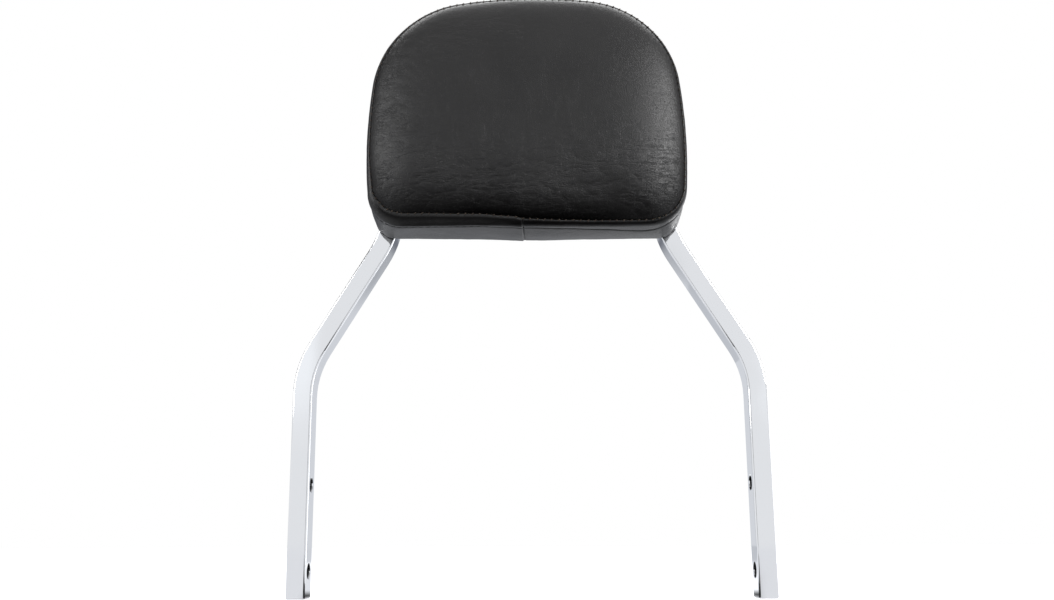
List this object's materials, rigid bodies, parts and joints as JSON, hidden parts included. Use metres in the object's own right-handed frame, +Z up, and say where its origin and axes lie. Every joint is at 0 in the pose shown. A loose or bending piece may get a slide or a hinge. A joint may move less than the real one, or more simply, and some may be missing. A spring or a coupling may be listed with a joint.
{
  "type": "sissy bar with backrest",
  "caption": "Chromed hoop of flat bar that stands up behind a motorcycle seat on two drilled feet, with a padded black vinyl backrest.",
  "frame": {"origin": "midway between the two feet, on the common axis of their lower bolt holes", "axes": "+X across the motorcycle along the bolt holes, +Z up the feet, -Y the side that the padded front faces"},
  "size_m": [0.3164, 0.069, 0.3985],
  "materials": {
    "chrome": "polished chrome plate",
    "vinyl": "black grained vinyl with a slight sheen",
    "foam": "open-cell foam, hidden under the cover",
    "base_board": "moulded black plastic",
    "zinc": "bright zinc-plated steel"
  },
  "bodies": {
    "root": {"hoop": "chrome", "upper_strap": "chrome", "lower_strap": "chrome", "weld_beads": "chrome", "pad_base": "base_board", "foam_core": "foam", "boxing": "vinyl", "front_panel": "vinyl", "staples": "zinc", "t_nut_1": "zinc", "t_nut_2": "zinc", "t_nut_3": "zinc", "t_nut_4": "zinc", "pad_screw_1": "zinc", "pad_screw_2": "zinc", "pad_screw_3": "zinc", "pad_screw_4": "zinc", "lock_washer_1": "zinc", "lock_washer_2": "zinc", "lock_washer_3": "zinc", "lock_washer_4": "zinc", "flat_washer_1": "zinc", "flat_washer_2": "zinc", "flat_washer_3": "zinc", "flat_washer_4": "zinc"}
  },
  "joints": []
}
